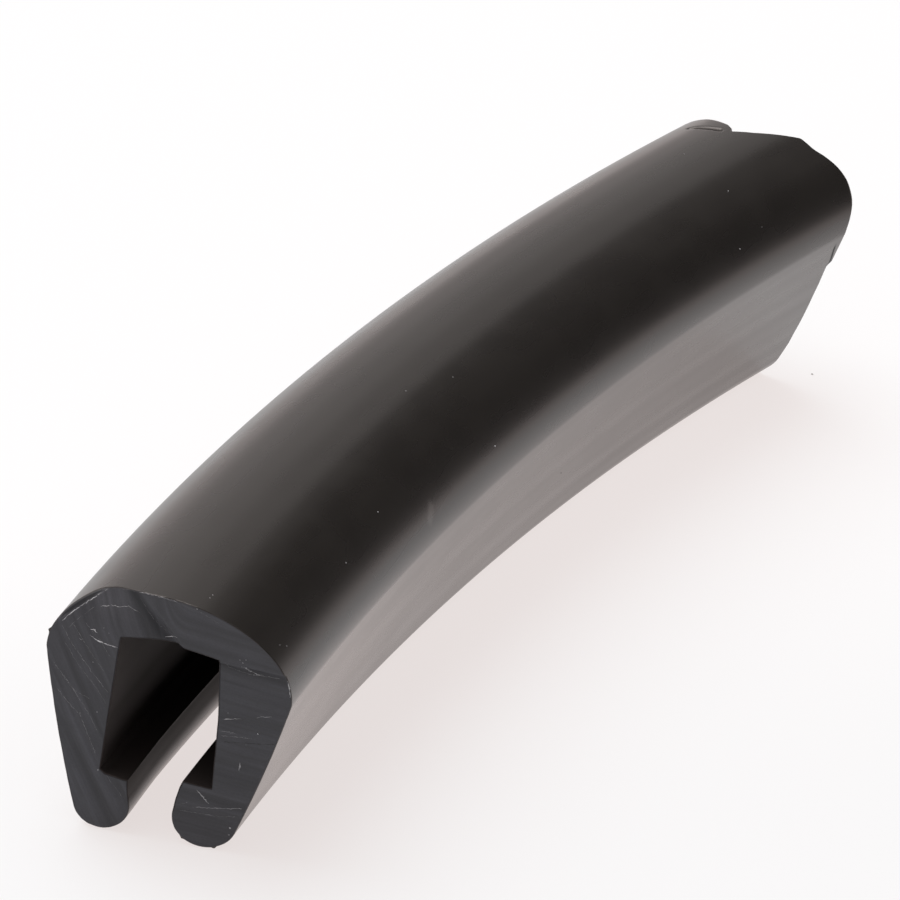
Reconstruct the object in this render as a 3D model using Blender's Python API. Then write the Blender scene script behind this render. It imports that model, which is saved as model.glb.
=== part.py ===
"""Edge trim seal: a short sample of a solid rubber C-section edge trim.

The section has a domed crown over two legs that taper in to rounded feet, and a
square channel between them that grips a panel edge.  The piece is bent sideways
by the coil it came from and stands on its two feet.  Both ends are sawn: the near
one almost square, the far one slanted and stepped.

Metres, +Z up.  The bar's chord runs along Y, with the square end at -Y, and the
centre of the bend lies on the +X side.
"""

import math

import bmesh
import bpy
from mathutils import Matrix, Vector

# Section, measured from the level of its greatest width
WIDTH = 0.0360
CROWN_RISE = 0.01305
CROWN_POWER = 1.98
SHOULDER_RADIUS = 0.0012
LEG_TAPER_DEG = 14.4
FOOT_LEVEL = -0.0273
FOOT_RADIUS = 0.0046
LIP_LEVEL = -0.0171
LIP_HALF_GAP = 0.0039
CHANNEL_FOOT_HALF = 0.0078
CHANNEL_TOP_HALF = 0.00715
CHANNEL_TOP_LEVEL = 0.0048
CEILING_RISE = 0.0006

# Bar
BAR_LENGTH = 0.2038
BEND_RADIUS = 0.727

# Near end: slopes of the saw cut across and up the section
NEAR_SLOPE_ACROSS = 0.065
NEAR_SLOPE_UP = -0.104

# Far end: cut from both sides to a valley in the crown, with a step at the leg.
# Each face's reach is measured from the bar's length.
VALLEY_ACROSS = -0.0036
VALLEY_SLOPE = 0.87
LUMP_REACH = -0.0020
LUMP_SLOPE = -0.58
SHOULDER_ACROSS = 0.0064
SHOULDER_REACH = 0.0062
SHOULDER_SLOPE_ACROSS = 0.30
SHOULDER_SLOPE_UP = 0.28
LEG_TOP = -0.0056
LEG_REACH = 0.0020

# Fineness of the curves
CROWN_STEPS = 14
SHOULDER_STEPS = 3
FOOT_STEPS = 8
CEILING_STEPS = 3
BEND_STEPS = 22

# Length left for the saw at each end, and how far one cut laps into the next
SAW_ALLOWANCE = 0.016
CUT_LAP = 0.0012
SMOOTH_ANGLE = math.radians(32)

RUBBER_COLOUR = (0.022, 0.021, 0.020, 1.0)
RUBBER_ROUGHNESS = 0.38


def clear_scene():
    for item in list(bpy.data.objects):
        bpy.data.objects.remove(item, do_unlink=True)


def make_rubber():
    material = bpy.data.materials.new("black_rubber")
    material.use_nodes = True
    shader = material.node_tree.nodes["Principled BSDF"]
    shader.inputs["Base Color"].default_value = RUBBER_COLOUR
    shader.inputs["Roughness"].default_value = RUBBER_ROUGHNESS
    shader.inputs["Metallic"].default_value = 0.0
    return material


def arc(centre, radius, first, last, steps):
    """Points on a circle from one angle to another, both ends kept."""
    points = []
    for step in range(steps + 1):
        turn = first + (last - first) * step / steps
        points.append((centre[0] + radius * math.cos(turn), centre[1] + radius * math.sin(turn)))
    return points


def half_section():
    """Right half of the section as (across, up), from the crown down round the leg to the ceiling."""
    taper = math.radians(LEG_TAPER_DEG)
    points = []
    for step in range(CROWN_STEPS):
        turn = math.pi / 2 * step / CROWN_STEPS
        across = WIDTH / 2 * math.sin(turn) ** (2 / CROWN_POWER)
        up = CROWN_RISE * math.cos(turn) ** (2 / CROWN_POWER)
        points.append((across, up))
    shoulder = (WIDTH / 2 - SHOULDER_RADIUS, 0.0)
    points += arc(shoulder, SHOULDER_RADIUS, 0.0, -taper, SHOULDER_STEPS)
    # The foot's circle touches the straight outer face of the leg.
    drop = FOOT_LEVEL + FOOT_RADIUS
    face_offset = SHOULDER_RADIUS - FOOT_RADIUS
    foot_across = shoulder[0] + (face_offset + drop * math.sin(taper)) / math.cos(taper)
    points += arc((foot_across, drop), FOOT_RADIUS, -taper, -math.pi, FOOT_STEPS)
    points.append((LIP_HALF_GAP, LIP_LEVEL))
    points.append((CHANNEL_FOOT_HALF, LIP_LEVEL))
    for step in range(CEILING_STEPS + 1):
        across = CHANNEL_TOP_HALF * (1 - step / CEILING_STEPS)
        up = CHANNEL_TOP_LEVEL + CEILING_RISE * (1 - (across / CHANNEL_TOP_HALF) ** 2)
        points.append((across, up))
    return points


def whole_section():
    right = half_section()
    left = [(-across, up) for across, up in reversed(right[1:-1])]
    return right + left


def bend_angle(along):
    """Angle about the centre of the bend, zero at the bar's middle."""
    return (along - BAR_LENGTH / 2) / BEND_RADIUS


def bar_frame(along):
    """Matrix of the section at this length: columns across, along and up, and the centre line's point."""
    angle = bend_angle(along)
    across = Vector((math.cos(angle), -math.sin(angle), 0.0))
    forward = Vector((math.sin(angle), math.cos(angle), 0.0))
    up = Vector((0.0, 0.0, 1.0))
    middle = Vector((BEND_RADIUS, 0.0, 0.0)) - across * BEND_RADIUS
    frame = Matrix((across, forward, up)).transposed().to_4x4()
    frame.translation = middle
    return frame


def sweep_section(mesh):
    """Spins the section about the centre of the bend."""
    start = bar_frame(-SAW_ALLOWANCE)
    corners = [mesh.verts.new(start @ Vector((across, 0.0, up))) for across, up in whole_section()]
    face = mesh.faces.new(corners)
    total = (BAR_LENGTH + 2 * SAW_ALLOWANCE) / BEND_RADIUS
    bmesh.ops.spin(
        mesh,
        geom=[face],
        cent=(BEND_RADIUS, 0.0, 0.0),
        axis=(0.0, 0.0, 1.0),
        angle=-total,
        steps=BEND_STEPS,
    )
    # The spin leaves the end faces open or facing inward, so the ends are closed afresh.
    ends = [item for item in mesh.faces if len(item.verts) > 4]
    bmesh.ops.delete(mesh, geom=ends, context="FACES_ONLY")
    bmesh.ops.holes_fill(mesh, edges=[edge for edge in mesh.edges if edge.is_boundary], sides=0)
    bmesh.ops.recalc_face_normals(mesh, faces=mesh.faces)


def saw_near_end(mesh):
    frame = bar_frame(0.0)
    normal = frame.to_3x3() @ Vector((NEAR_SLOPE_ACROSS, -1.0, NEAR_SLOPE_UP))
    bmesh.ops.bisect_plane(
        mesh,
        geom=mesh.verts[:] + mesh.edges[:] + mesh.faces[:],
        plane_co=frame.translation,
        plane_no=normal,
        clear_outer=True,
    )
    bmesh.ops.holes_fill(mesh, edges=[edge for edge in mesh.edges if edge.is_boundary], sides=0)
    bmesh.ops.recalc_face_normals(mesh, faces=mesh.faces)


def make_bar(material):
    mesh = bmesh.new()
    sweep_section(mesh)
    saw_near_end(mesh)
    data = bpy.data.meshes.new("edge_trim_profile")
    mesh.to_mesh(data)
    mesh.free()
    bar = bpy.data.objects.new("edge_trim_profile", data)
    bpy.context.collection.objects.link(bar)
    data.materials.append(material)
    data.shade_smooth()
    data.set_sharp_from_angle(angle=SMOOTH_ANGLE)
    return bar


def block_reach():
    """How far a cutting block reaches, well past the section and the length left for the saw."""
    return WIDTH + CROWN_RISE - FOOT_LEVEL


def cut_far_end(bar, name, low, high, face):
    """Takes off what lies beyond a sloping face, inside a rectangle of the section.

    The face is (reach, slope across, slope up), the reach being that at the section's middle.
    """
    reach, slope_across, slope_up = face
    mesh = bmesh.new()
    corners = []
    for across, up in ((low[0], low[1]), (high[0], low[1]), (high[0], high[1]), (low[0], high[1])):
        along = reach + slope_across * across + slope_up * up
        corners.append(mesh.verts.new((across, along, up)))
    first = mesh.faces.new(corners)
    pushed = bmesh.ops.extrude_face_region(mesh, geom=[first])
    far_corners = [item for item in pushed["geom"] if isinstance(item, bmesh.types.BMVert)]
    bmesh.ops.translate(mesh, verts=far_corners, vec=(0.0, block_reach(), 0.0))
    bmesh.ops.recalc_face_normals(mesh, faces=mesh.faces)
    data = bpy.data.meshes.new(name)
    mesh.to_mesh(data)
    mesh.free()
    block = bpy.data.objects.new(name, data)
    block.matrix_world = bar_frame(BAR_LENGTH)
    block.hide_render = True
    block.display_type = "WIRE"
    bpy.context.collection.objects.link(block)
    modifier = bar.modifiers.new(name, "BOOLEAN")
    modifier.operation = "DIFFERENCE"
    modifier.solver = "EXACT"
    modifier.object = block


def saw_far_end(bar):
    reach = block_reach()
    lump_reach = LUMP_REACH - LUMP_SLOPE * VALLEY_ACROSS
    shoulder_reach = SHOULDER_REACH - SHOULDER_SLOPE_ACROSS * SHOULDER_ACROSS
    shoulder_reach -= SHOULDER_SLOPE_UP * CROWN_RISE
    cut_far_end(
        bar,
        "far_cut_valley",
        (VALLEY_ACROSS, -reach),
        (SHOULDER_ACROSS, reach),
        (0.0, VALLEY_SLOPE, 0.0),
    )
    cut_far_end(
        bar,
        "far_cut_lump",
        (-reach, -reach),
        (VALLEY_ACROSS + CUT_LAP, reach),
        (lump_reach, LUMP_SLOPE, 0.0),
    )
    cut_far_end(
        bar,
        "far_cut_shoulder",
        (SHOULDER_ACROSS - CUT_LAP, LEG_TOP),
        (reach, reach),
        (shoulder_reach, SHOULDER_SLOPE_ACROSS, SHOULDER_SLOPE_UP),
    )
    cut_far_end(
        bar,
        "far_cut_leg",
        (SHOULDER_ACROSS - CUT_LAP, -reach),
        (reach, LEG_TOP + CUT_LAP),
        (LEG_REACH, 0.0, 0.0),
    )


def stand_on_floor(bar):
    """Bakes the cuts in and moves the mesh so that its box stands centred on the origin."""
    bpy.context.view_layer.update()
    graph = bpy.context.evaluated_depsgraph_get()
    cut = bpy.data.meshes.new_from_object(bar.evaluated_get(graph))
    bar.modifiers.clear()
    bar.data = cut
    low = [min(vertex.co[axis] for vertex in cut.vertices) for axis in range(3)]
    high = [max(vertex.co[axis] for vertex in cut.vertices) for axis in range(3)]
    shift = Vector((-(low[0] + high[0]) / 2, -(low[1] + high[1]) / 2, -low[2]))
    cut.transform(Matrix.Translation(shift))
    for item in list(bpy.data.objects):
        if item != bar:
            bpy.data.objects.remove(item, do_unlink=True)


def main():
    clear_scene()
    bar = make_bar(make_rubber())
    saw_far_end(bar)
    stand_on_floor(bar)


main()
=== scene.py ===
"""Edge trim seal: detailed rubber profile with sawn ends, on a pale floor in soft studio light."""
import math

import bpy
import numpy as np
from mathutils import Matrix, Vector
from mathutils.bvhtree import BVHTree


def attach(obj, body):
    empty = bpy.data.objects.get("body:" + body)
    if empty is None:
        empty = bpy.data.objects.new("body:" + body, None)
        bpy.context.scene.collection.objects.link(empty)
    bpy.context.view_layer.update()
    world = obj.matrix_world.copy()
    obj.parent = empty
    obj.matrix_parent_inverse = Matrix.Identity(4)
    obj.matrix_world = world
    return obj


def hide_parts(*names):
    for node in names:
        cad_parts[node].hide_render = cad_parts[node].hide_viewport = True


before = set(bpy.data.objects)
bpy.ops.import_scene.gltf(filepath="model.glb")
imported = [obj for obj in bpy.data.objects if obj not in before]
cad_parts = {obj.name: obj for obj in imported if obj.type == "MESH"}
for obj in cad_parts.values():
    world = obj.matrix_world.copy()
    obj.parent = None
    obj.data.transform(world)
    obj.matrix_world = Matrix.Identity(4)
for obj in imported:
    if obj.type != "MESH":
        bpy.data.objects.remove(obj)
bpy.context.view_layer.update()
scene = bpy.context.scene

MM = 0.001

# Section in metres, from the level of its greatest width: the CAD's, with the left and right
# sides slightly different
WIDTH = 0.0360
CROWN_RISE = 0.01305
CROWN_POWER = 1.98
SHOULDER_RADIUS = 0.0012
LEG_TAPER = math.radians(15.0)
LEG_BOW = 0.00030
FOOT_LEVEL = -0.0273
FOOT_RADII = {"left": 0.0041, "right": 0.0046}
# The foot's circle starts so many radians above its middle on the inner side
TOE_LAP = 0.12
CEILING_LEVEL = 0.0054
# Channel wall, ledge and lip of each side (across, up), from the ceiling's corner to the lip
CHANNEL = {
    "left": (
        (0.0071, 0.0045),
        (0.0077, -0.0068),
        (0.0082, -0.0176),
        (0.0074, -0.0182),
        (0.0041, -0.0186),
        (0.0038, -0.0210),
    ),
    "right": (
        (0.0072, 0.0049),
        (0.0078, -0.0045),
        (0.0078, -0.0170),
        (0.0037, -0.0167),
        (0.0033, -0.0178),
        (0.0029, -0.0198),
    ),
}

# Bar: its length and bend, and the shift that brings the near section's frame to the CAD's
BAR_LENGTH = 0.2038
BEND_RADIUS = 0.727
CAD_SHIFT = (-3.9119 * MM, -2.4395 * MM, 27.3 * MM)

# Fineness of the mesh: points of a side's curves and where the curves are parted, the spacing
# round the section, rows along the bar from the near end to the far one, and steps across a cut
CROWN_POINTS = 200
CROWN_SPLIT = 150
SHOULDER_POINTS = 12
LEG_POINTS = 14
FOOT_POINTS = 40
FOOT_SPLIT = 20
INNER_POINTS = 30
SECTION_SPACING = 0.00034
START_STEPS = (0.0001, 0.0002, 0.0004, 0.0008, 0.0016)
MIDDLE_STEP = 0.0050
END_STEPS = [0.0003] * 34
CUT_STEPS = 40

# Near end: a saw cut with a slight twist and bow
NEAR_SLOPE = (0.0411, -0.1095)
NEAR_TWIST = -4.51
NEAR_BOW_UP = -0.40
NEAR_BOW_ACROSS = 2.57
# Its upper left corner falls away, to a steep sliver beyond a line across the corner
CORNER_FALL = (-0.0112, 0.0112, 0.0024)
CORNER_SPREAD = (0.0046, 0.0038)
SLIVER_START = (-0.0160, 0.0050)
SLIVER_END = (-0.0100, 0.0108)
SLIVER_SLOPE = 1.0
# A trough where two cuts met runs from the crown down to the channel's ceiling. It is narrow
# above its line and wide below it, and shallower towards the crown
TROUGH_START = (-0.0050, 0.0120)
TROUGH_END = (0.0003, 0.0060)
TROUGH_DEPTH = 0.00105
TROUGH_WIDTHS = (0.0006, 0.0034)
TROUGH_FADE = 0.8
TROUGH_FADE_UP = (0.0070, 0.0125)
TROUGH_RIGHT = 0.0060
TROUGH_RIGHT_UP = (0.0046, 0.0066)
# Right of the trough a smooth facet stands proud of the leg below it
FACET_LEVEL = 0.0046
FACET_LEFT = (0.0062, 0.0068)
FACET_STEP = 0.00028
FACET_STEP_FADE = 0.0016
FACET_SMOOTH = 0.85
FACET_EDGE = (0.0004, 0.0012)
FACET_EDGE_UP = 0.0001
# Painted shade on the near cut: on the sliver, in a hollow along the trough (its strength, how far
# below its line, how wide) and more faintly beside it, below the facet, and on the right foot
SLIVER_EDGE = 0.0003
HOLLOW_SHADE = (0.45, 0.0010, 0.0009)
HOLLOW_UP = (0.0050, 0.0060)
HOLLOW_RIGHT = 0.004
HOLLOW_SIDE = 0.16
HOLLOW_SIDE_SPAN = (-0.0060, -0.0020)
HOLLOW_EDGE = 0.0004
FACET_SHADE = 0.36
FACET_SHADE_FADE = 0.0026
FOOT_SHADE = 0.20
FOOT_SHADE_DOWN = (0.0235, 0.0270)
# Saw marks (height, seed, pitch): they run down to the right on the left side and are nearly
# level on the right
SAW_MARKS = ((0.000040, 3, 0.0026), (0.000012, 4, 0.0007))
SAW_SLANT = (0.87, 0.10)
SAW_TURN = 0.004
# How far the edges of the cuts are rounded
EDGE_ROUND = 0.00009
# Nibs of torn rubber on the near edge (across, up, height), and how far they spread
NIBS = ((-0.0176, 0.0024, 0.00034), (0.0043, -0.0263, 0.00024), (0.0089, -0.0270, 0.00022))
NIB_BREADTH = 0.00028
NIB_LENGTH = 0.0005
# The left lip stands back a little behind the cut
LIP_SET_BACK = 0.00024
LIP_ALONG = (0.004, 0.016)
LIP_ACROSS = (-0.0078, -0.0056)
LIP_DOWN = (0.0180, 0.0190)

# Far end: points of the cut's edge over the crown (across, along) from left to right,
# and down the right leg (up, along)
CROWN_CUT = (
    (-0.0180, 0.2072),
    (-0.0136, 0.2072),
    (-0.0109, 0.2064),
    (-0.0081, 0.2051),
    (-0.0056, 0.2039),
    (-0.0041, 0.2026),
    (-0.0036, 0.2015),
    (0.0000, 0.2038),
    (0.0062, 0.2099),
    (0.0094, 0.2097),
    (0.0097, 0.2102),
    (0.0130, 0.2116),
    (0.0148, 0.2119),
    (0.0168, 0.2112),
    (0.0178, 0.2094),
)
LEG_CUT = (
    (0.0000, 0.2082),
    (-0.0054, 0.2075),
    (-0.0057, 0.2062),
    (-0.0160, 0.2063),
    (-0.0214, 0.2059),
    (-0.0245, 0.2049),
    (-0.0265, 0.2040),
)

# Saw kerf across the crown, short of the far end's left part: a groove, near-black with painted
# shade
KERF_ALONG = 0.2010
KERF_DEPTH = 0.0011
KERF_HALF_WIDTH = 0.00042
KERF_LEFT = (-0.0104, -0.0085)
KERF_RIGHT = (-0.0040, -0.0036)
KERF_ABOVE = 0.008
# Slit that parts a flap from the top of the right leg: painted shade only, a near-black line with
# no groove
SLIT_REACH = 0.0007
SLIT_SLANT = 0.0011
SLIT_SLANT_UP = (-0.0056, -0.0015)
SLIT_HALF_WIDTH = 0.00034
SLIT_ACROSS = 0.0150
SLIT_BOTTOM = (-0.0058, -0.0054)
SLIT_TOP = (-0.0024, -0.0008)
# Roughness of the far cut (height, seed, pitch)
FAR_MARKS = (0.00008, 5, 0.0023)
# Waves of the extruded skin round the section (height, pitch, phase)
SKIN_WAVES = ((0.000006, 0.0043, 0.0), (0.000005, 0.0071, 1.3))
# The waves swell and fade along the bar and round it
SWELL = 0.6
SWELL_ALONG = 0.047
SWELL_ROUND = 0.009
# Edges sharper than this show as edges
SHARP_DEG = 50

# Camera, from the photograph's perspective
LENS_PX = 7052.4
IMAGE_PX = 900.0
SENSOR = 36.0
CLIP_END = 50
# The near section's centre, and the section's axes, as the camera sees them (right, down, away)
NEAR_CENTRE = Vector((-1.09554, 0.87909, 27.27044)) * WIDTH
VIEW_ACROSS = Vector((0.945645, 0.248175, -0.210153))
VIEW_ALONG = Vector((0.296453, -0.392222, 0.870792))
VIEW_UP = Vector((0.133682, -0.885760, -0.444475))

# Floor, just below the bar's feet
FLOOR_REACH = 6.0
FLOOR_GAP = 0.0002
FLOOR_COLOUR = (0.165, 0.216, 0.236, 1)
FAR_FLOOR_COLOUR = (0.200, 0.170, 0.160, 1)
FAR_FLOOR_FROM = (0.25, 0.45)
FLOOR_ROUGHNESS = 0.6
FLOOR_SHINE = 0.1
FLOOR_GLOW = 0.74
FLOOR_GLOW_RISE = 1.06
FLOOR_GLOW_SPAN = (-0.10, 0.04)
FLOOR_GLOW_COLOUR = (1.0, 0.915, 0.895, 1)
GRIT_COLOUR = (0.18, 0.16, 0.14, 1)
GRIT_RADIUS = 0.00025

# Studio light: the walls round the object, each over its span of degrees from the bar's
# direction, the bright horizon, the soft roof and the key light. Heights are in degrees too
WALL_LEFT = 0.62
WALL_BACK = 0.47
WALL_RIGHT = 0.08
WALL_FRONT = 0.20
WALL_LEFT_DEG = (-30, -4)
WALL_RIGHT_DEG = (-2.5, 1.5)
WALL_FRONT_DEG = (60, 140)
SKIRT = 0.06
SKIRT_DEG = (4, 30)
HORIZON = 0.95
HORIZON_DEG = (-4, 8)
ROOF = 0.50
ROOF_DEG = (34, 46)
KEY = 4.0
KEY_SIDE_DEG = -70
KEY_HEIGHT_DEG = 62
KEY_SPREAD_DEG = (36, 16)
WORLD_TINT = (1.03, 0.99, 0.97, 1.0)
HORIZON_TINT = (1.07, 0.975, 0.965, 1.0)
HORIZON_TINT_DEG = (0, 20)

# Skin: two tones of rubber, and its gloss from the near end to the far one
SKIN_DARK = (0.0088, 0.0074, 0.0064, 1)
SKIN_LIGHT = (0.0102, 0.0088, 0.0076, 1)
SKIN_ROUGHNESS = 0.28
SKIN_IOR = 1.56
SKIN_TINT = (1.0, 0.925, 0.90, 1)
SKIN_SHINE = (0.46, 0.55)
# Gloss that the legs have on top, from the near end to the far one. It starts below the crown
# and is less at the feet: two heights, and the shares there
LEG_GLOSS = (0.62, 0.335)
LEG_GLOSS_ALONG = (0.010, 0.075)
LEG_GLOSS_TOP = (0.0308, 0.0262, 0.0, 1.0)
LEG_GLOSS_FOOT = (0.003, 0.022, 0.72, 1.0)
LEG_GLOSS_TINT = (1.0, 0.92, 0.89, 1)
LEG_GLOSS_ROUGHNESS = 0.26
# The inside begins over this span of the lips, up the section
INSIDE_UP = (-0.0248, -0.0208)
INSIDE_COLOUR = (0.038, 0.032, 0.0305, 1)
INSIDE_ROUGHER = 0.24
# It is dull, least so at its ceiling and at its mouth, as painted light and shade: two heights, and
# the shine there
CEILING_SHINE = (0.0165, 0.0262, 0.05, 0.34)
MOUTH_SHINE = (0.0098, 0.0060, 0.07, 0.33)
# Painted shade in the kerf and the slit: near black
GASH_SHADE_COLOUR = (0.001, 0.001, 0.001, 1)
# A short pale scuff on the crown's inner side: its middle, the way it runs and its breadth
SCUFF_COLOUR = (0.056, 0.052, 0.050, 1)
SCUFF_PLACE = (0.0140, -0.0423, 0.0317)
SCUFF_WAY = (0.339, -0.732, -0.590)
SCUFF_SIDE = (0.309, 0.679, -0.665)
SCUFF_HALF_LENGTH = (0.0010, 0.0024)
SCUFF_HALF_WIDTH = (0.0002, 0.0013)
# Sawn faces, and the torn rubber, dust and painted highlights on them
CUT_COLOUR = (0.0355, 0.0360, 0.0425)
PALE_MARK_AND_HIGHLIGHT_COLOUR = (0.300, 0.300, 0.315)
PALE_MARK_AND_HIGHLIGHT_ROUGHNESS = 0.6

# A raised line, for a scratch and for a painted highlight: its points' spacing and scatter in
# photo pixels, how far its rims are sunk in the rubber, and how much lower its crest is
RAISED_LINE_STEP_PX = 1.6
RAISED_LINE_SCATTER_PX = 0.30
RAISED_LINE_SUNK = 0.00002
RAISED_LINE_LOW = 0.000004
# Corners of a crumb, and the seed of all uneven marks
SPECK_CORNERS = 7
MARKS_SEED = 41

# Marks on the near end as the photograph shows them, some painted highlights: width in mm, tone,
# and points in photo pixels
SCRATCHES_AND_HIGHLIGHTS = (
    # Painted highlight on the upper left corner's ridge, on rubber worn paler there
    (0.18, 1.10, ((62, 621), (72, 612), (82, 605), (95, 597), (109, 588))),
    (0.09, 0.55, ((68, 628), (80, 617), (96, 606))),
    (0.14, 1.00, ((100, 606), (106, 606), (112, 605), (120, 607), (128, 606), (134, 609),
                  (140, 613))),
    (0.08, 0.45, ((118, 589), (130, 590), (150, 594), (175, 602), (200, 612), (220, 624))),
    # Burr along the crown's edge, with a painted highlight on it
    (0.13, 0.90, ((138, 592), (150, 594), (164, 598), (178, 602))),
    (0.09, 0.40, ((140, 597), (148, 611), (158, 623), (164, 629), (168, 634))),
    # Painted highlight along the facet's step
    (0.10, 0.50, ((224, 662), (229, 667), (240, 671), (250, 674), (260, 676), (282, 679))),
    (0.24, 0.60, ((243, 667), (250, 671), (257, 674), (264, 676))),
    (0.24, 1.10, ((287, 681), (289, 686), (290, 693), (290, 698))),
    (0.12, 0.62, ((62, 625), (70, 640), (80, 655), (95, 676), (108, 693))),
    (0.12, 0.60, ((56, 687), (66, 700), (80, 715), (96, 755))),
    (0.11, 0.50, ((72, 622), (88, 648), (104, 672))),
    (0.12, 0.55, ((52, 660), (70, 684), (90, 716), (99, 734))),
    (0.11, 0.50, ((85, 622), (100, 640), (112, 660))),
    (0.11, 0.45, ((64, 640), (78, 664), (98, 690), (106, 704))),
    (0.11, 0.45, ((60, 672), (74, 690), (92, 700))),
    (0.34, 1.60, ((90, 629), (94, 630), (98, 633))),
    (0.24, 1.40, ((90, 635), (95, 639), (101, 642), (109, 645), (118, 648))),
    (0.24, 1.10, ((79, 638), (82, 640))),
    (0.18, 0.90, ((222, 720), (232, 719), (242, 719))),
    (0.22, 0.75, ((256, 718), (264, 717), (272, 717))),
    (0.14, 0.80, ((220, 731), (228, 732), (236, 734))),
    (0.12, 0.75, ((220, 736), (236, 737), (252, 739))),
    (0.16, 0.06, ((222, 742), (240, 743), (258, 744), (276, 745))),
    (0.38, 0.80, ((240, 762), (240, 766), (239, 771))),
    (0.26, 0.90, ((197, 790), (202, 796), (209, 804))),
    (0.10, 0.55, ((178, 805), (185, 803), (192, 801))),
    (0.14, 0.95, ((192, 807), (215, 808), (244, 809))),
    (0.12, 0.50, ((180, 810), (196, 813), (215, 816), (238, 817))),
    (0.09, 0.55, ((106, 775), (114, 786), (123, 798))),
    # Torn ridge at the channel's top right, with a painted highlight on it
    (0.30, 1.00, ((165, 637), (170, 636), (177, 638))),
)
# Crumbs and dust: radius in mm, tone, and place in photo pixels
SPECKS = (
    (0.11, 1.1, (93, 662)),
    (0.11, 1.0, (97, 712)),
    (0.11, 1.0, (80, 713)),
    (0.09, 0.8, (104, 628)),
    (0.09, 0.8, (109, 633)),
    (0.11, 1.0, (240, 660)),
    (0.10, 0.9, (243, 663)),
    (0.09, 0.9, (246, 660)),
    (0.10, 0.9, (242, 667)),
    (0.10, 0.9, (249, 671)),
    (0.14, 1.3, (246, 668)),
    (0.09, 1.0, (251, 671)),
    (0.09, 0.8, (254, 675)),
    (0.13, 1.3, (258, 734)),
    (0.09, 0.8, (246, 745)),
    (0.09, 0.8, (228, 713)),
    (0.20, 1.4, (230, 828)),
    (0.14, 1.3, (229, 835)),
    (0.16, 1.1, (98, 770)),
    (0.14, 1.6, (213, 595)),
    (0.12, 1.4, (210, 598)),
    (0.12, 1.2, (197, 609)),
    (0.12, 1.6, (280, 645)),
    (0.12, 1.6, (287, 646)),
    (0.15, 2.0, (378, 512)),
    (0.14, 1.8, (346, 563)),
    (0.12, 1.6, (406, 391)),
    (0.12, 1.6, (453, 377)),
    (0.16, 3.0, (495, 446)),
    (0.15, 2.0, (728, 191)),
    (0.14, 1.6, (740, 249)),
    (0.11, 1.2, (762, 227)),
    (0.12, 1.6, (684, 154)),
    (0.15, 0.03, (561, 473)),
)
# Speck of grit on the floor, in photo pixels
FLOOR_SPECK = (812, 374)


def arc(cx, cy, radius, first, last, count):
    """Points on a circle from one angle to another."""
    turn = np.linspace(first, last, count)
    return np.stack([cx + radius * np.cos(turn), cy + radius * np.sin(turn)], 1)


def bowed_line(first, last, bow, count):
    """Points from first to last, bowed sideways by a little."""
    share = np.linspace(0, 1, count)[:, None]
    first = np.array(first)
    last = np.array(last)
    side = np.array([first[1] - last[1], last[0] - first[0]])
    side = side / np.hypot(*side)
    return first + (last - first) * share + side * bow * 4 * share * (1 - share)


def run_along(points):
    """Distance of each point of a line from its first one, along the line."""
    step = np.linalg.norm(np.diff(points, axis=0), axis=1)
    return np.concatenate([[0], np.cumsum(step)])


def spread_points(points, count):
    """The same line with so many points, evenly spaced."""
    run = run_along(points)
    at = np.linspace(0, run[-1], count)
    return np.stack([np.interp(at, run, points[:, k]) for k in (0, 1)], 1)


def half_lines(side):
    """Matching stretches of one side's outer and inner line, from the crown down to the foot."""
    turn = np.linspace(0, math.pi / 2, CROWN_POINTS)
    crown_x = WIDTH / 2 * np.sin(turn) ** (2 / CROWN_POWER)
    crown_y = CROWN_RISE * np.maximum(np.cos(turn), 0) ** (2 / CROWN_POWER)
    crown = np.stack([crown_x, crown_y], 1)
    shoulder_x = WIDTH / 2 - SHOULDER_RADIUS
    shoulder = arc(shoulder_x, 0, SHOULDER_RADIUS, 0, -LEG_TAPER, SHOULDER_POINTS)[1:]
    # The foot's circle touches the leg's outer face
    radius = FOOT_RADII[side]
    drop = FOOT_LEVEL + radius
    reach = SHOULDER_RADIUS - radius + drop * math.sin(LEG_TAPER)
    foot_x = shoulder_x + reach / math.cos(LEG_TAPER)
    foot = arc(foot_x, drop, radius, -LEG_TAPER, -math.pi / 2, FOOT_POINTS)
    toe = arc(foot_x, drop, radius, -math.pi - TOE_LAP, -math.pi / 2, INNER_POINTS)
    leg = bowed_line(shoulder[-1], foot[0], LEG_BOW, LEG_POINTS)[1:]

    corner, wall_middle, wall_foot, *lip = CHANNEL[side]
    across = np.linspace(0, corner[0], INNER_POINTS)
    up = corner[1] + (CEILING_LEVEL - corner[1]) * (1 - (across / corner[0]) ** 2)
    ceiling = np.stack([across, up], 1)
    wall = np.array([corner, wall_middle, wall_foot])
    # The left ledge has a small step, so it has one point more
    ledge_points = 2 if side == "left" else 1
    ledge = np.array([wall_foot, *lip[:ledge_points]])
    lip_face = np.array(lip[ledge_points - 1:])
    return (
        (crown[:CROWN_SPLIT + 1], ceiling),
        (np.concatenate([crown[CROWN_SPLIT:], shoulder, leg]), wall),
        (foot[:FOOT_SPLIT + 1], ledge),
        (foot[FOOT_SPLIT:], np.concatenate([lip_face, toe])),
    )


def section_lines(spacing):
    """Outer and inner line of the section, with as many points each, from left foot to right."""
    sides = {}
    for side in ("left", "right"):
        lines = ([], [])
        stretches = half_lines(side)
        for k, pair in enumerate(stretches):
            length = max(run_along(points)[-1] for points in pair)
            count = max(2, int(round(length / spacing)) + 1)
            for line, points in zip(lines, pair):
                part = spread_points(points, count)
                line.append(part if k == len(stretches) - 1 else part[:-1])
        sides[side] = [np.concatenate(line) for line in lines]
    mirror = np.array([-1.0, 1.0])
    left = [(line * mirror)[::-1] for line in sides["left"]]
    return [np.concatenate([left[k], sides["right"][k][1:]]) for k in (0, 1)]


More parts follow.
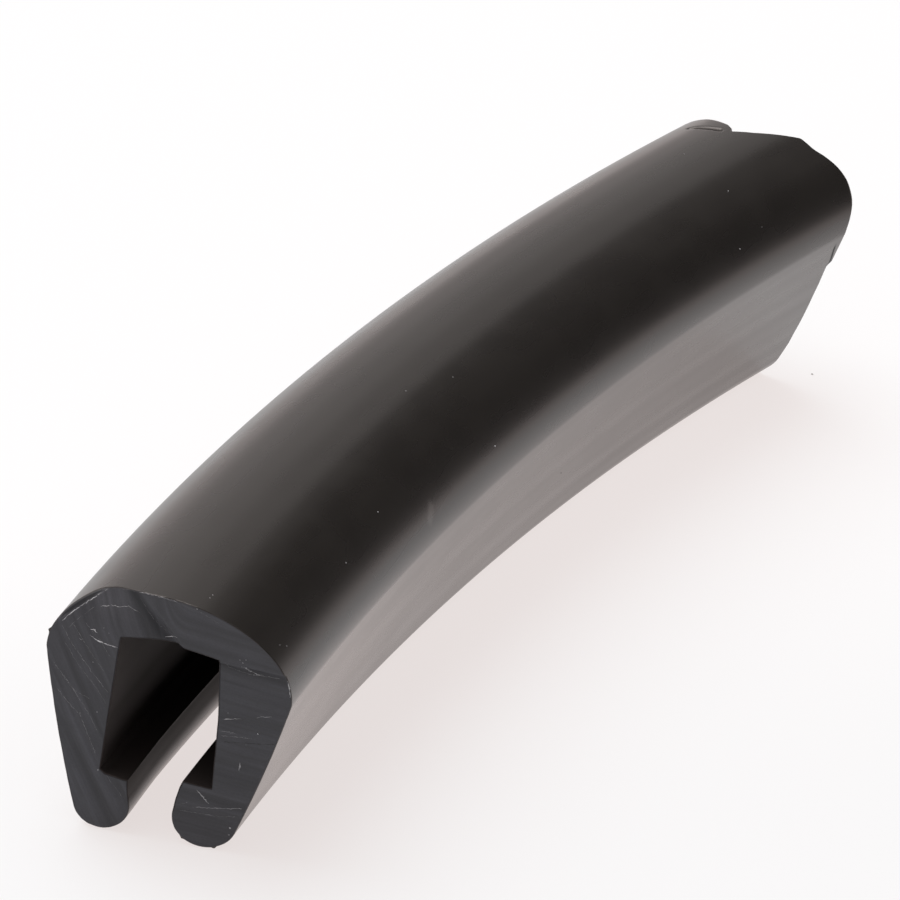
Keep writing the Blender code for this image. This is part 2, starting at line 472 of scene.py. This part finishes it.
def place(across, along, up):
    """World points from section coordinates and length along the bend."""
    angle = (along - BAR_LENGTH / 2) / BEND_RADIUS
    radius = BEND_RADIUS - across
    return np.stack([BEND_RADIUS - radius * np.cos(angle) + CAD_SHIFT[0],
                     radius * np.sin(angle) + CAD_SHIFT[1],
                     up + CAD_SHIFT[2]], -1)


def ease(x, low, high):
    """Smooth rise from 0 at low to 1 at high."""
    t = np.clip((x - low) / (high - low), 0, 1)
    return t * t * (3 - 2 * t)


def ripple(at, seed, pitch):
    """Smooth uneven waves along one direction, about one high."""
    total = np.zeros_like(at)
    waves = np.random.default_rng(seed)
    for share in (1.0, 0.61, 0.37, 0.21):
        phase = waves.uniform(0, 2 * math.pi)
        total += share ** 0.5 * np.sin(2 * math.pi * at / (pitch * share) + phase)
    return total / 2.3


def beyond_line(x, y, start, end):
    """Distance to the left of a line from start to end."""
    run = np.array(end) - np.array(start)
    run = run / np.hypot(*run)
    return (y - start[1]) * run[0] - (x - start[0]) * run[1]


def below_facet(x, y, most, fade):
    """A value on the right leg, greatest right below the facet's step, that fades downward."""
    drop = np.maximum(FACET_LEVEL - y, 0)
    return most * np.exp(-drop / fade) * (y < FACET_LEVEL) * ease(x, *FACET_LEFT)


def saw_direction(x, y):
    """Distance across the saw marks."""
    left = 1 - ease(x, -SAW_TURN, SAW_TURN)
    slant = SAW_SLANT[0] * left + SAW_SLANT[1] * (1 - left)
    return x * slant + y * np.sqrt(1 - slant * slant)


def painted_cut_shade(x, y):
    """Painted shade: how much darker the cut is on the sliver, along the trough, below the facet
    and on a foot.
    """
    sliver = ease(beyond_line(x, y, SLIVER_START, SLIVER_END), 0.0, SLIVER_EDGE)
    off = beyond_line(x, y, TROUGH_START, TROUGH_END)
    over_channel = ease(y, *HOLLOW_UP)
    most, drop, width = HOLLOW_SHADE
    hollow = most * np.exp(-((off + drop) / width) ** 2) * over_channel * (x < HOLLOW_RIGHT)
    beside = HOLLOW_SIDE * ease(off, *HOLLOW_SIDE_SPAN) * (1 - ease(off, 0.0, HOLLOW_EDGE))
    hollow += beside * over_channel
    below = below_facet(x, y, FACET_SHADE, FACET_SHADE_FADE)
    foot = FOOT_SHADE * ease(-y, *FOOT_SHADE_DOWN) * (x > 0)
    return np.clip(sliver + hollow + below + foot, 0, 1)


def near_along(x, y):
    """Length at which the near saw cut lies, at each place of the section."""
    bowed = NEAR_SLOPE[0] * x + NEAR_SLOPE[1] * y
    bowed = bowed + NEAR_TWIST * x * y + NEAR_BOW_UP * y * y + NEAR_BOW_ACROSS * x * x
    fall_x = (x - CORNER_FALL[0]) / CORNER_SPREAD[0]
    fall_y = np.minimum(y - CORNER_FALL[1], 0) / CORNER_SPREAD[1]
    fall = CORNER_FALL[2] * np.exp(-fall_x ** 2 - fall_y ** 2)
    sliver = np.maximum(beyond_line(x, y, SLIVER_START, SLIVER_END), 0) * SLIVER_SLOPE
    off = beyond_line(x, y, TROUGH_START, TROUGH_END)
    trough = TROUGH_DEPTH * np.exp(-(off / np.where(off > 0, *TROUGH_WIDTHS)) ** 2)
    trough = trough * (1 - TROUGH_FADE * ease(y, *TROUGH_FADE_UP))
    trough = trough * np.where(x > TROUGH_RIGHT, ease(y, *TROUGH_RIGHT_UP), 1)
    step = below_facet(x, y, FACET_STEP, FACET_STEP_FADE)
    on_facet = ease(y, FACET_LEVEL - FACET_EDGE_UP, FACET_LEVEL + FACET_EDGE_UP)
    facet = ease(off, *FACET_EDGE) * on_facet
    mark = saw_direction(x, y)
    saw = sum(high * ripple(mark, seed, pitch) for high, seed, pitch in SAW_MARKS)
    return bowed + fall + sliver + trough + step + saw * (1 - FACET_SMOOTH * facet)


def far_edge(outer):
    """Length at which the far cut meets each point of the outer line."""
    crest = len(outer) // 2
    run = run_along(outer)
    run -= run[crest]
    right = outer[crest:]
    widest = int(right[:, 0].argmax())
    crown_run = run[crest:crest + widest + 1]
    leg_run = run[crest + widest:]
    marks = []
    for across, along in CROWN_CUT:
        at = np.interp(abs(across), right[:widest + 1, 0], crown_run)
        marks.append((math.copysign(at, across), along))
    for up, along in LEG_CUT:
        marks.append((np.interp(-up, -right[widest:, 1], leg_run), along))
    marks.sort()
    edge = np.interp(run, [at for at, _ in marks], [along for _, along in marks])
    # The corners between these points are rounded on the right of the crown
    weights = np.exp(-np.linspace(-1.6, 1.6, 9) ** 2)
    soft = np.convolve(np.pad(edge, 4, mode="edge"), weights / weights.sum(), mode="valid")
    rounded = ease(outer[:, 0], 0.0080, 0.0090) * ease(outer[:, 1], -0.0020, -0.0010)
    return edge + (soft - edge) * rounded


def lengths(start_steps, middle_step, end_steps, total):
    """Shares of the bar's length at which its skin has a row of points."""
    first = np.cumsum(start_steps)
    last = total - np.cumsum(end_steps)[::-1]
    middle_count = int((last[0] - first[-1]) / middle_step)
    middle = np.linspace(first[-1], last[0], middle_count + 2)[1:-1]
    return np.concatenate([[0], first, middle, last, [total]]) / total


def inward(loop, crest):
    """Unit vectors into the rubber at each point of the closed section line."""
    ahead = np.roll(loop, -1, axis=0) - np.roll(loop, 1, axis=0)
    normal = np.stack([ahead[:, 1], -ahead[:, 0]], 1)
    normal /= np.linalg.norm(normal, axis=1)[:, None]
    return -normal if normal[crest, 1] > 0 else normal


def shape_skin(loop, into, run, along, start, end):
    """Section coordinates of the skin's points, row by row, and how far each lies in the kerf and
    the slit, which get painted shade.
    """
    x = np.repeat(loop[None, :, 0], len(along), 0)
    y = np.repeat(loop[None, :, 1], len(along), 0)
    for across, up, high in NIBS:
        off = (x - across) ** 2 + (y - up) ** 2
        nib = np.exp(-off / NIB_BREADTH ** 2 - ((along - start) / NIB_LENGTH) ** 2)
        x -= into[:, 0] * nib * high
        y -= into[:, 1] * nib * high
    set_back = LIP_SET_BACK * ease(along, *LIP_ALONG) * ease(x, *LIP_ACROSS) * (x < 0)
    x -= set_back * ease(-y, *LIP_DOWN)
    kerf = np.exp(-((along - KERF_ALONG) / KERF_HALF_WIDTH) ** 2)
    kerf = kerf * ease(x, *KERF_LEFT) * (1 - ease(x, *KERF_RIGHT)) * (y > KERF_ABOVE)
    off_slit = end - along - SLIT_REACH - SLIT_SLANT * ease(y, *SLIT_SLANT_UP)
    slit = np.exp(-(off_slit / SLIT_HALF_WIDTH) ** 2) * (x > SLIT_ACROSS)
    slit = slit * ease(y, *SLIT_BOTTOM) * (1 - ease(y, *SLIT_TOP))
    y -= kerf * KERF_DEPTH
    wave = 0
    for high, pitch, phase in SKIN_WAVES:
        wave = wave + high * np.sin(2 * math.pi * run / pitch + phase)
    swell = 1 + SWELL * np.sin(along / SWELL_ALONG + run / SWELL_ROUND)
    x += into[:, 0] * wave * swell
    y += into[:, 1] * wave * swell
    return x, y, np.maximum(kerf, slit)


def skin_quads(count, bands):
    """Faces between neighbouring rows of points along the bar."""
    quads = []
    for band in range(bands):
        low = band * count + np.arange(count)
        high = band * count + (np.arange(count) + 1) % count
        quads.append(np.stack([low, high, high + count, low + count], 1))
    return np.concatenate(quads).tolist()


def cut_places(ring, rows):
    """Section coordinates across a cut, on lines from each outer point to its inner one."""
    share = np.linspace(0, 1, CUT_STEPS + 1)[1:-1]
    outer_ring = ring[:rows]
    inner_ring = np.concatenate([ring[:1], ring[rows:][::-1], ring[rows - 1:rows]])
    across = outer_ring[:, None] * (1 - share[:, None]) + inner_ring[:, None] * share[:, None]
    return across[1:-1].reshape(-1, 2)


def cut_quads(rows, count, ring_base, flat_base, faces_near):
    """Faces of a cut, between its ring of edge points and the points across it."""
    flat = np.arange((rows - 2) * (CUT_STEPS - 1)).reshape(rows - 2, CUT_STEPS - 1)
    index = np.zeros((rows, CUT_STEPS + 1), int)
    index[:, 0] = ring_base + np.arange(rows)
    index[1:-1, CUT_STEPS] = ring_base + count - np.arange(1, rows - 1)
    index[1:-1, 1:CUT_STEPS] = flat_base + flat
    index[0, :] = ring_base
    index[-1, :] = ring_base + rows - 1
    quads = []
    for i in range(rows - 1):
        for j in range(CUT_STEPS):
            quad = [index[i, j], index[i + 1, j], index[i + 1, j + 1], index[i, j + 1]]
            if faces_near:
                quad.reverse()
            quad = [int(v) for k, v in enumerate(quad) if v != quad[k - 1]]
            if len(quad) > 2:
                quads.append(quad)
    return quads


def build_profile():
    """The bar's points, skin faces and cut faces, and what the materials read at each point.

    That is a place: round the skin, along it and in the gashes, whose shade is painted, or across
    and up a cut and across its saw marks. Then a shade: how far a skin point lies inside, or how
    much painted shade darkens a cut.
    """
    outer, inner = section_lines(SECTION_SPACING)
    rows = len(outer)
    loop = np.concatenate([outer, inner[::-1][1:-1]])
    count = len(loop)
    run = run_along(loop)
    into = inward(loop, rows // 2)
    share = lengths(START_STEPS, MIDDLE_STEP, END_STEPS, BAR_LENGTH)
    stations = len(share)
    start = near_along(loop[:, 0], loop[:, 1]) + EDGE_ROUND
    outer_end = far_edge(outer)
    end = np.concatenate([outer_end, outer_end[::-1][1:-1]]) - EDGE_ROUND
    along = start + share[:, None] * (end - start)
    x, y, painted_gash_shade = shape_skin(loop, into, run, along, start, end)

    ring = loop + into * EDGE_ROUND
    flat = cut_places(ring, rows)
    high, seed, pitch = FAR_MARKS
    far_rough = high * ripple(flat[:, 0] * 0.8 + flat[:, 1] * 0.6, seed, pitch)
    far_depth = np.repeat(outer_end[1:-1], CUT_STEPS - 1) + far_rough
    points = np.concatenate([
        place(ring[:, 0], near_along(ring[:, 0], ring[:, 1]), ring[:, 1]),
        place(x, along, y).reshape(-1, 3),
        place(ring[:, 0], end + EDGE_ROUND, ring[:, 1]),
        place(flat[:, 0], near_along(flat[:, 0], flat[:, 1]), flat[:, 1]),
        place(flat[:, 0], far_depth, flat[:, 1]),
    ])
    cut_marks = np.stack([flat[:, 0], flat[:, 1], saw_direction(flat[:, 0], flat[:, 1])], 1)
    marks = np.concatenate([
        np.stack([run, run * 0, run * 0], 1),
        np.stack([np.repeat(run[None], stations, 0), along, painted_gash_shade], -1).reshape(-1, 3),
        np.stack([run, end, run * 0], 1),
        cut_marks,
        cut_marks,
    ])
    inside = np.arange(count) >= rows
    inside = inside * ease(loop[:, 1], *INSIDE_UP)
    # Painted shade on the near cut, kept with the channel's depth in one attribute; the far cut has
    # none
    near_painted_shade = painted_cut_shade(flat[:, 0], flat[:, 1])
    shades = np.concatenate([np.tile(inside, stations + 2), near_painted_shade, near_painted_shade * 0])

    skin_total = count * (stations + 2)
    far_ring = count * (stations + 1)
    faces = skin_quads(count, stations + 1)
    cut_faces = cut_quads(rows, count, 0, skin_total, True)
    cut_faces += cut_quads(rows, count, far_ring, skin_total + len(flat), False)
    return points, faces, cut_faces, marks, shades


def make_object(name, points, faces, materials):
    """A mesh in the scene, with its materials."""
    data = bpy.data.meshes.new(name)
    data.from_pydata([tuple(p) for p in points], [], faces)
    data.validate()
    obj = bpy.data.objects.new(name, data)
    scene.collection.objects.link(obj)
    for material in materials:
        data.materials.append(material)
    return obj


def store(obj, name, kind, key, values):
    """Keeps values at the mesh's points for a material to read."""
    attribute = obj.data.attributes.new(name, kind, "POINT")
    attribute.data.foreach_set(key, np.array(values, np.float32).ravel())


class Nodes:
    """Short calls for building a node tree."""

    def __init__(self, tree):
        self.tree = tree

    def add(self, kind, **values):
        node = self.tree.nodes.new(kind)
        for key, value in values.items():
            setattr(node, key, value)
        return node

    def put(self, socket, value):
        """Links an output to the socket, or sets the socket's own value."""
        if isinstance(value, bpy.types.NodeSocket):
            self.tree.links.new(value, socket)
        else:
            socket.default_value = value

    def spot(self):
        """Place on the object, in metres."""
        return self.add("ShaderNodeTexCoord").outputs["Object"]

    def stored(self, name, output="Fac"):
        """What the mesh keeps under this name."""
        return self.add("ShaderNodeAttribute", attribute_name=name).outputs[output]

    def math(self, operation, *values):
        node = self.add("ShaderNodeMath", operation=operation)
        for socket, value in zip(node.inputs, values):
            self.put(socket, value)
        return node.outputs[0]

    def times(self, first, *others):
        for other in others:
            first = self.math("MULTIPLY", first, other)
        return first

    def plus(self, first, *others):
        for other in others:
            first = self.math("ADD", first, other)
        return first

    def rest(self, share):
        """One less the share."""
        return self.math("SUBTRACT", 1.0, share)

    def ramp(self, value, low, high, first, last, kind="SMOOTHSTEP"):
        """From first at low to last at high."""
        node = self.add("ShaderNodeMapRange", interpolation_type=kind)
        for socket, item in zip(node.inputs, (value, low, high, first, last)):
            self.put(socket, item)
        return node.outputs[0]

    def spread(self, noise, first, last):
        """A noise's usual range as values from first to last."""
        return self.ramp(noise, 0.3, 0.7, first, last)

    def turn(self, angle, degrees, first, last, kind="SMOOTHSTEP"):
        """From first to last over a span of degrees."""
        low, high = degrees
        return self.ramp(angle, math.radians(low), math.radians(high), first, last, kind)

    def vector_math(self, operation, vector, other):
        node = self.add("ShaderNodeVectorMath", operation=operation)
        self.put(node.inputs[0], vector)
        node.inputs[1].default_value = other
        return node.outputs

    def dot(self, vector, axis):
        return self.vector_math("DOT_PRODUCT", vector, axis)["Value"]

    def scaled(self, vector, scale):
        return self.vector_math("MULTIPLY", vector, scale)[0]

    def parts(self, vector):
        """The three numbers of a vector."""
        node = self.add("ShaderNodeSeparateXYZ")
        self.put(node.inputs[0], vector)
        return node.outputs

    def vector(self, *numbers):
        node = self.add("ShaderNodeCombineXYZ")
        for socket, number in zip(node.inputs, numbers):
            self.put(socket, number)
        return node.outputs[0]

    def mix(self, share, first, last):
        node = self.add("ShaderNodeMix", data_type="RGBA")
        self.put(node.inputs[0], share)
        self.put(node.inputs[6], first)
        self.put(node.inputs[7], last)
        return node.outputs[2]

    def toned(self, colour, tone):
        """A colour times a number that varies."""
        node = self.add("ShaderNodeVectorMath", operation="SCALE")
        node.inputs[0].default_value = colour
        self.put(node.inputs["Scale"], tone)
        return node.outputs[0]

    def noise(self, vector, scale, detail=3.0, rough=0.55):
        node = self.add("ShaderNodeTexNoise")
        self.put(node.inputs["Vector"], vector)
        node.inputs["Scale"].default_value = scale
        node.inputs["Detail"].default_value = detail
        node.inputs["Roughness"].default_value = rough
        return node.outputs["Fac"]

    def bump(self, height, strength, distance, normal=None):
        node = self.add("ShaderNodeBump")
        self.put(node.inputs["Height"], height)
        node.inputs["Strength"].default_value = strength
        node.inputs["Distance"].default_value = distance
        if normal is not None:
            self.put(node.inputs["Normal"], normal)
        return node.outputs["Normal"]


def new_material(name):
    """A material, calls for its node tree, and its shader."""
    material = bpy.data.materials.new(name)
    material.use_nodes = True
    tree = material.node_tree
    return material, Nodes(tree), tree.nodes["Principled BSDF"]


def make_skin():
    """Extruded rubber: semi-gloss, with faint die lines, mottling and a fine even grain."""
    material, n, shader = new_material("extruded_rubber_skin")
    spot = n.spot()
    height = n.parts(spot)[2]
    bar = n.stored("bar_place", "Vector")
    _, along, painted_gash_shade = n.parts(bar)
    inside = n.stored("inside")
    lines = n.noise(n.scaled(bar, (700.0, 3.0, 0.0)), 1.0, 1.0, 0.5)
    bands = n.noise(n.scaled(bar, (220.0, 6.0, 0.0)), 1.0, 1.0)
    mottle = n.noise(n.scaled(spot, (150.0, 90.0, 150.0)), 1.0, 2.0, 0.5)
    grain = n.noise(spot, 2200.0, 2.0, 0.6)

    colour = n.mix(n.ramp(mottle, 0.35, 0.65, 0.0, 1.0), SKIN_DARK, SKIN_LIGHT)
    from_scuff = n.vector_math("SUBTRACT", spot, SCUFF_PLACE)[0]
    scuff_run = n.math("ABSOLUTE", n.dot(from_scuff, SCUFF_WAY))
    scuff_off = n.math("ABSOLUTE", n.dot(from_scuff, SCUFF_SIDE))
    scuffed = n.times(
        n.ramp(scuff_run, *SCUFF_HALF_LENGTH, 1.0, 0.0),
        n.ramp(scuff_off, *SCUFF_HALF_WIDTH, 1.0, 0.0),
    )
    colour = n.mix(scuffed, colour, SCUFF_COLOUR)
    colour = n.mix(inside, colour, INSIDE_COLOUR)
    colour = n.mix(painted_gash_shade, colour, GASH_SHADE_COLOUR)
    n.put(shader.inputs["Base Color"], colour)
    rough = n.plus(
        SKIN_ROUGHNESS,
        n.spread(bands, -0.012, 0.012),
        n.spread(mottle, -0.010, 0.010),
        n.ramp(inside, 0.4, 1.0, 0.0, INSIDE_ROUGHER),
    )
    n.put(shader.inputs["Roughness"], rough)

    # The far end is a little glossier; the gashes are duller, as painted shade, and the channel is
    # duller too
    shine = n.ramp(along, 0.0, 0.20, *SKIN_SHINE, "LINEAR")
    shine = n.times(shine, n.ramp(painted_gash_shade, 0.0, 0.8, 1.0, 0.04))
    # Painted light and shade in the channel: shine kept at its ceiling and mouth, lost between
    painted_light_in_channel = n.math("MAXIMUM", n.ramp(height, *CEILING_SHINE), n.ramp(height, *MOUTH_SHINE))
    shine = n.times(shine, n.ramp(inside, 0.5, 1.0, 1.0, painted_light_in_channel))
    n.put(shader.inputs["Specular IOR Level"], shine)
    shader.inputs["IOR"].default_value = SKIN_IOR
    shader.inputs["Specular Tint"].default_value = SKIN_TINT

    # The legs are glossier than the crown, most of all at the near end
    leg_gloss = n.times(
        n.ramp(height, *LEG_GLOSS_TOP),
        n.ramp(inside, 0.1, 0.45, 1.0, 0.0),
        n.ramp(height, *LEG_GLOSS_FOOT),
        n.rest(painted_gash_shade),
        n.ramp(along, *LEG_GLOSS_ALONG, *LEG_GLOSS),
    )
    n.put(shader.inputs["Coat Weight"], leg_gloss)
    shader.inputs["Coat Tint"].default_value = LEG_GLOSS_TINT
    shader.inputs["Coat Roughness"].default_value = LEG_GLOSS_ROUGHNESS
    normal = n.bump(grain, 0.03, 0.00003)
    normal = n.bump(lines, 0.025, 0.00005, normal)
    normal = n.bump(mottle, 0.04, 0.0003, normal)
    n.put(shader.inputs["Normal"], normal)
    return material


def make_cut():
    """Sawn rubber: dull charcoal with streaks along the saw marks and a torn, grainy texture, and
    painted shade in places.
    """
    material, n, shader = new_material("sawn_rubber")
    spot = n.spot()
    across, up, mark = n.parts(n.stored("bar_place", "Vector"))
    # The attribute inside holds the near cut's painted shade
    painted_shade = n.stored("inside")
    fine_place = n.vector(n.times(mark, 1500.0), n.times(up, 60.0), n.times(across, 60.0))
    wide_place = n.vector(n.times(mark, 420.0), n.times(up, 40.0))
    streak = n.noise(fine_place, 1.0, 4.0, 0.6)
    wide = n.noise(wide_place, 1.0, 2.0)
    patch = n.noise(spot, 170.0, 3.0)
    grain = n.noise(spot, 3200.0, 4.0, 0.75)
    tone = n.times(
        n.spread(streak, 0.78, 1.28),
        n.spread(wide, 0.80, 1.20),
        n.spread(patch, 0.93, 1.07),
        n.ramp(across, -0.0150, -0.0040, 1.08, 0.94),
        n.ramp(painted_shade, 0.0, 1.0, 1.0, 0.35),
        n.ramp(grain, 0.25, 0.75, 0.9, 1.1),
    )
    n.put(shader.inputs["Base Color"], n.toned(CUT_COLOUR, tone))
    n.put(shader.inputs["Roughness"], n.spread(streak, 0.56, 0.70))
    n.put(shader.inputs["Specular IOR Level"], n.ramp(painted_shade, 0.0, 1.0, 0.42, 0.15))
    normal = n.bump(grain, 0.35, 0.00005)
    normal = n.bump(streak, 0.35, 0.00006, normal)
    n.put(shader.inputs["Normal"], normal)
    return material


def make_crumb_and_highlight_material():
    """Stretched and torn rubber, dust, and painted highlights on edges: pale grey, uneven in tone.
    """
    material, n, shader = new_material("torn_rubber_dust_and_highlights")
    spot = n.spot()
    uneven = n.spread(n.noise(spot, 1500.0, 3.0, 0.7), 0.55, 1.35)
    tone = n.times(n.stored("tone"), uneven)
    n.put(shader.inputs["Base Color"], n.toned(PALE_MARK_AND_HIGHLIGHT_COLOUR, tone))
    shader.inputs["Roughness"].default_value = PALE_MARK_AND_HIGHLIGHT_ROUGHNESS
    n.put(shader.inputs["Normal"], n.bump(n.noise(spot, 4000.0, 3.0, 0.7), 0.3, 0.00003))
    return material


# The bar
points, faces, cut_faces, marks, shades = build_profile()
body = make_object("edge_trim_body", points, faces + cut_faces, [make_skin(), make_cut()])
slots = np.zeros(len(body.data.polygons), np.int32)
slots[len(faces):] = 1
body.data.polygons.foreach_set("material_index", slots)
store(body, "bar_place", "FLOAT_VECTOR", "vector", marks)
# The skin's depth in the channel, and the near cut's painted shade
store(body, "inside", "FLOAT", "value", shades)
body.data.shade_smooth()
body.data.set_sharp_from_angle(angle=math.radians(SHARP_DEG))
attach(body, "root")
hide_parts("edge_trim_profile")

# Camera: it sees the near section's axes as the photograph does
near_angle = -BAR_LENGTH / 2 / BEND_RADIUS
world_across = Vector((math.cos(near_angle), -math.sin(near_angle), 0))
world_along = Vector((math.sin(near_angle), math.cos(near_angle), 0))
world_up = Vector((0, 0, 1))
world_axes = Matrix((world_across, world_along, world_up)).transposed()
view_axes = Matrix((VIEW_ACROSS, VIEW_ALONG, VIEW_UP)).transposed()
to_view = view_axes @ world_axes.transposed()
near_world = Vector(place(np.array([0.0]), np.array([0.0]), np.array([0.0]))[0])
eye = near_world - to_view.transposed() @ NEAR_CENTRE
right, down, away = to_view[0], to_view[1], to_view[2]
camera_data = bpy.data.cameras.new("camera")
camera_data.sensor_width = SENSOR
camera_data.lens = LENS_PX / IMAGE_PX * SENSOR
camera_data.clip_end = CLIP_END
camera = bpy.data.objects.new("camera", camera_data)
rotation = Matrix((right, -down, -away)).transposed().to_4x4()
camera.matrix_world = Matrix.Translation(eye) @ rotation
scene.collection.objects.link(camera)
scene.camera = camera

# The photograph's marks, each set on what the camera sees at its place
body_tree = BVHTree.FromPolygons([Vector(p) for p in points], faces + cut_faces)


def sight(pixel):
    """Direction in which the camera sees a pixel of the photograph."""
    u, v = pixel
    rightward = right * (u - IMAGE_PX / 2) / LENS_PX
    downward = down * (v - IMAGE_PX / 2) / LENS_PX
    return (rightward + downward + away).normalized()


def seen(pixel):
    """Place on the bar that the camera sees at a pixel, with its normal, or nothing."""
    spot, normal, _, _ = body_tree.ray_cast(eye, sight(pixel))
    if spot is None:
        return None
    return spot, normal if normal.dot(eye - spot) > 0 else -normal


def add_raised_line(mesh, path, width, rng):
    """A thin raised burr along a path, uneven in width and broken in places; some of these lines
    are painted highlights.
    """
    path = np.array(path, float)
    count = max(3, int(run_along(path)[-1] / RAISED_LINE_STEP_PX))
    line = spread_points(path, count)
    line[1:-1] += rng.normal(0, RAISED_LINE_SCATTER_PX, (count - 2, 2))
    hits = [hit for hit in map(seen, line) if hit]
    if len(hits) < 3:
        return
    points, faces = mesh
    base = len(points)
    last = len(hits) - 1
    for k, (spot, normal) in enumerate(hits):
        ahead = hits[min(k + 1, last)][0] - hits[max(k - 1, 0)][0]
        side = normal.cross(ahead).normalized()
        end_share = min(1.0, 0.25 + min(k, last - k) / 3)
        half = width / 2 * end_share * rng.uniform(0.45, 1.15)
        high = half * rng.uniform(0.1, 0.8) - RAISED_LINE_LOW
        points.append(spot - side * half - normal * RAISED_LINE_SUNK)
        points.append(spot + normal * high)
        points.append(spot + side * half - normal * RAISED_LINE_SUNK)
    for k in range(last):
        row = base + 3 * k
        faces.append((row + 3, row + 4, row + 1, row))
        faces.append((row + 4, row + 5, row + 2, row + 1))
        faces.append((row + 5, row + 3, row, row + 2))
    faces.append((base, base + 1, base + 2))
    end = base + 3 * last
    faces.append((end + 2, end + 1, end))


def add_speck(mesh, spot, normal, radius, rng):
    """A crumb: a low uneven dome."""
    points, faces = mesh
    base = len(points)
    side = normal.orthogonal().normalized()
    other = normal.cross(side)
    points.append(spot + normal * radius * 0.5)
    for k in range(SPECK_CORNERS):
        turn = 2 * math.pi * k / SPECK_CORNERS
        reach = radius * rng.uniform(0.5, 1.3)
        rim = side * math.cos(turn) + other * math.sin(turn)
        points.append(spot + rim * reach - normal * radius * 0.1)
    for k in range(SPECK_CORNERS):
        faces.append((base, base + 1 + k, base + 1 + (k + 1) % SPECK_CORNERS))
    faces.append(tuple(base + SPECK_CORNERS - k for k in range(SPECK_CORNERS)))


rng = np.random.default_rng(MARKS_SEED)
crumb_and_highlight_mesh = ([], [])
crumb_and_highlight_tones = []
# Burrs and painted highlights, then crumb specks and dust
for width, tone, path in SCRATCHES_AND_HIGHLIGHTS:
    add_raised_line(crumb_and_highlight_mesh, path, width * MM, rng)
    crumb_and_highlight_tones += [tone] * (len(crumb_and_highlight_mesh[0]) - len(crumb_and_highlight_tones))
for radius, tone, pixel in SPECKS:
    hit = seen(pixel)
    if hit:
        add_speck(crumb_and_highlight_mesh, *hit, radius * MM, rng)
        crumb_and_highlight_tones += [tone] * (len(crumb_and_highlight_mesh[0]) - len(crumb_and_highlight_tones))
crumbs_and_highlights = make_object("saw_burrs_dust_and_highlights", *crumb_and_highlight_mesh, [make_crumb_and_highlight_material()])
store(crumbs_and_highlights, "tone", "FLOAT", "value", crumb_and_highlight_tones)
crumbs_and_highlights.data.shade_smooth()
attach(crumbs_and_highlights, "root")
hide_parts("edge_trim_profile")

# Floor: a pale sheet with a glow of its own, slightly stronger behind the bar, and a speck of grit
floor_material, ground, shader = new_material("pale_floor")
corners = [(x * FLOOR_REACH, y * FLOOR_REACH, 0) for x, y in ((-1, -1), (1, -1), (1, 1), (-1, 1))]
floor = make_object("floor", corners, [(0, 1, 2, 3)], [floor_material])
floor.location.z = -FLOOR_GAP
spot = ground.spot()
distance = ground.add("ShaderNodeVectorMath", operation="LENGTH")
ground.put(distance.inputs[0], spot)
far_share = ground.ramp(distance.outputs["Value"], *FAR_FLOOR_FROM, 0.0, 1.0)
ground.put(shader.inputs["Base Color"], ground.mix(far_share, FLOOR_COLOUR, FAR_FLOOR_COLOUR))
backward = Vector((away.x, away.y, 0)).normalized()
backward += Vector((-backward.y, backward.x, 0)) * 0.5
glow = (FLOOR_GLOW, FLOOR_GLOW * FLOOR_GLOW_RISE)
brighter = ground.ramp(ground.dot(spot, backward), *FLOOR_GLOW_SPAN, *glow)
ground.put(shader.inputs["Emission Strength"], brighter)
shader.inputs["Emission Color"].default_value = FLOOR_GLOW_COLOUR
shader.inputs["Roughness"].default_value = FLOOR_ROUGHNESS
shader.inputs["Specular IOR Level"].default_value = FLOOR_SHINE
grit_way = sight(FLOOR_SPECK)
grit_spot = eye - grit_way * (eye.z / grit_way.z)
grit = ([], [])
add_speck(grit, grit_spot, world_up, GRIT_RADIUS, rng)
grit_material, _, grit_shader = new_material("grit")
grit_shader.inputs["Base Color"].default_value = GRIT_COLOUR
floor_grit = make_object("floor_grit", *grit, [grit_material])

# Light: walls of soft light all round, a bright horizon, a roof and a soft key light
world = bpy.data.worlds.new("studio")
scene.world = world
world.use_nodes = True
w = Nodes(world.node_tree)
direction = w.add("ShaderNodeTexCoord").outputs["Generated"]
side = w.math("ARCTAN2", w.dot(direction, world_across), w.dot(direction, world_along))
height = w.math("ARCSINE", w.dot(direction, world_up))
left = w.turn(side, WALL_LEFT_DEG, WALL_LEFT, WALL_BACK, "LINEAR")
on_right = w.turn(side, WALL_RIGHT_DEG, 0.0, 1.0)
skirt = w.turn(height, SKIRT_DEG, SKIRT, 0.0)
in_front = w.turn(w.math("ABSOLUTE", side), WALL_FRONT_DEG, 0.0, 1.0)
wall = w.plus(
    w.times(left, w.rest(on_right)),
    w.times(on_right, WALL_RIGHT),
    w.times(on_right, skirt),
    w.times(in_front, WALL_FRONT),
)
level = w.math("MAXIMUM", wall, w.turn(height, HORIZON_DEG, HORIZON, 0.0))
roof = w.turn(height, ROOF_DEG, 0.0, 1.0)
level = w.plus(w.times(level, w.rest(roof)), w.times(roof, ROOF))
key_side = math.radians(KEY_SIDE_DEG)
key_height = math.radians(KEY_HEIGHT_DEG)
key_level = math.cos(key_height)
key_way = world_along * math.cos(key_side) * key_level
key_way += world_across * math.sin(key_side) * key_level
key_way.z = math.sin(key_height)
key_edge, key_core = (math.cos(math.radians(spread)) for spread in KEY_SPREAD_DEG)
lobe = w.ramp(w.dot(direction, key_way), key_edge, key_core, 0.0, KEY)
background = world.node_tree.nodes["Background"]
w.put(background.inputs["Strength"], w.plus(level, lobe))
tint = w.mix(w.turn(height, HORIZON_TINT_DEG, 0.0, 1.0), HORIZON_TINT, WORLD_TINT)
w.put(background.inputs["Color"], tint)
scene.view_settings.view_transform = "Standard"
